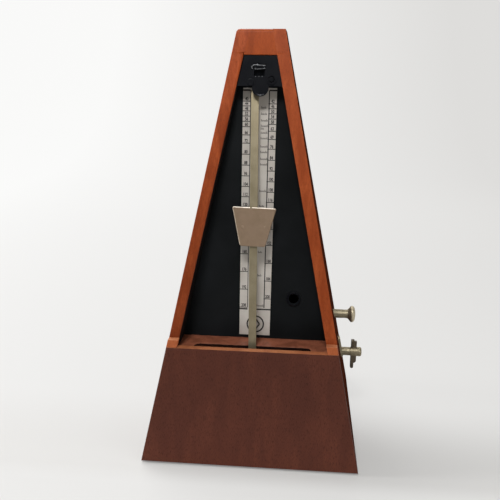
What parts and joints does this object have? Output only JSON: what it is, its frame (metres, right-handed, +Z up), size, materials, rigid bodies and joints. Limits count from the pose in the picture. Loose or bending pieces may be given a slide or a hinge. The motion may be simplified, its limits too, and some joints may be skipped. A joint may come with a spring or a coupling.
{
  "type": "wind-up metronome",
  "caption": "Wind-up pyramid metronome: a pendulum rod with a sliding weight swings before a tempo scale, a side key winds the spring and a side knob sets the bell.",
  "frame": {"origin": "middle of the overall box's footprint on the table, the key included", "axes": "+Z up, -Y the front with the scale, +X the side with the winding key and the bell knob"},
  "size_m": [0.1182, 0.1142, 0.222],
  "materials": {
    "pale_wood": "semi-gloss lacquered reddish brown wood",
    "dark_wood": "semi-gloss lacquered dark brown wood",
    "shelf_wood": "satin stained wood",
    "felt": "pressed felt",
    "black_paint": "satin black enamel on sheet metal",
    "black_plastic": "moulded, faint texture",
    "silver_scale": "satin anodised sheet with printed marks",
    "nickel": "worn nickel plate, slightly warm",
    "brass": "satin sheet and turned brass",
    "steel": "plain bright steel",
    "lead": "dull grey cast metal",
    "taupe_paint": "metallic taupe lacquer"
  },
  "bodies": {
    "case": {"case_side_left": "pale_wood", "case_side_right": "pale_wood", "case_back": "pale_wood", "case_front_panel": "dark_wood", "case_bridge": "pale_wood", "case_top": "pale_wood", "cover_stop_left": "pale_wood", "cover_stop_right": "pale_wood", "case_shelf": "shelf_wood", "case_base": "shelf_wood", "base_screw_1": "steel", "base_screw_2": "steel", "base_screw_3": "steel", "base_screw_4": "steel", "felt_foot_1": "felt", "felt_foot_2": "felt", "felt_foot_3": "felt", "felt_foot_4": "felt", "dial_plate": "black_paint", "scale_plate": "silver_scale", "rod_holder": "black_plastic", "catch_spring": "steel", "holder_screw": "steel", "plate_left": "brass", "plate_right": "brass", "pillar_1": "brass", "pillar_2": "brass", "pillar_3": "brass", "bearing_front": "brass", "bearing_rear": "brass", "click_post": "steel", "click_spring": "steel", "key_escutcheon": "nickel", "bell_post": "steel", "bell_strap": "brass", "bell": "brass"},
    "verge": {"verge_arbor": "steel", "cross_pin": "steel"},
    "pendulum": {"pendulum_hub": "brass", "counterweight": "lead", "pendulum_rod": "nickel"},
    "weight": {"sliding_weight": "taupe_paint", "weight_clip": "steel"},
    "barrel": {"barrel": "brass", "barrel_cap": "brass", "mainspring": "steel"},
    "intermediate": {"intermediate_arbor": "steel", "intermediate_wheel": "brass"},
    "escape": {"escape_arbor": "steel", "crown_wheel": "brass", "bell_cam": "brass"},
    "winding": {"winding_arbor": "nickel", "ratchet_wheel": "steel", "key_shaft": "nickel", "key_wing": "nickel"},
    "click": {"click": "steel"},
    "bell_pull": {"bell_pull": "nickel"},
    "hammer": {"bell_hammer": "steel"}
  },
  "joints": [
    {"name": "pendulum_swing", "type": "hinge", "parent": "case", "child": "verge", "pos_m": [-0.00202, -0.03976, 0.042], "axis": [0, -1, 0], "range_deg": [0, 18]},
    {"name": "rod_release", "type": "hinge", "parent": "verge", "child": "pendulum", "pos_m": [-0.00202, -0.03976, 0.042], "axis": [0.9998, 0, 0.0175], "range_deg": [0, 8.5]},
    {"name": "weight_slide", "type": "slide", "parent": "pendulum", "child": "weight", "axis": [-0.0171, 0.1908, 0.9815], "range_m": [-0.0576, 0.0489]},
    {"name": "barrel_turn", "type": "hinge", "parent": "case", "child": "barrel", "pos_m": [0, 0.004, 0.0425], "axis": [1, 0, 0], "continuous": true},
    {"name": "intermediate_turn", "type": "hinge", "parent": "case", "child": "intermediate", "pos_m": [0, -0.00968, 0.02579], "axis": [1, 0, 0], "continuous": true},
    {"name": "escape_turn", "type": "hinge", "parent": "case", "child": "escape", "pos_m": [0, -0.0175, 0.042], "axis": [1, 0, 0], "continuous": true},
    {"name": "key_wind", "type": "hinge", "parent": "case", "child": "winding", "pos_m": [0, 0.004, 0.0425], "axis": [-1, 0, 0], "continuous": true},
    {"name": "click_lift", "type": "hinge", "parent": "case", "child": "click", "pos_m": [0, -0.008, 0.0515], "axis": [1, 0, 0], "range_deg": [0, 8], "stiffness_Nm_per_rad": 0.002, "springref_deg": -5.73},
    {"name": "bell_pull_slide", "type": "slide", "parent": "case", "child": "bell_pull", "axis": [1, 0, 0], "range_m": [-0.004, 0.004]},
    {"name": "hammer_swing", "type": "hinge", "parent": "bell_pull", "child": "hammer", "pos_m": [0, 0.004, 0.0659], "axis": [-1, 0, 0], "range_deg": [0, 12], "stiffness_Nm_per_rad": 0.002, "springref_deg": -5.73}
  ],
  "couplings": [
    {"joint": "rod_release", "follows": "pendulum_swing", "ratio": 0.47222},
    {"joint": "intermediate_turn", "follows": "barrel_turn", "ratio": -5},
    {"joint": "escape_turn", "follows": "barrel_turn", "ratio": 20}
  ]
}
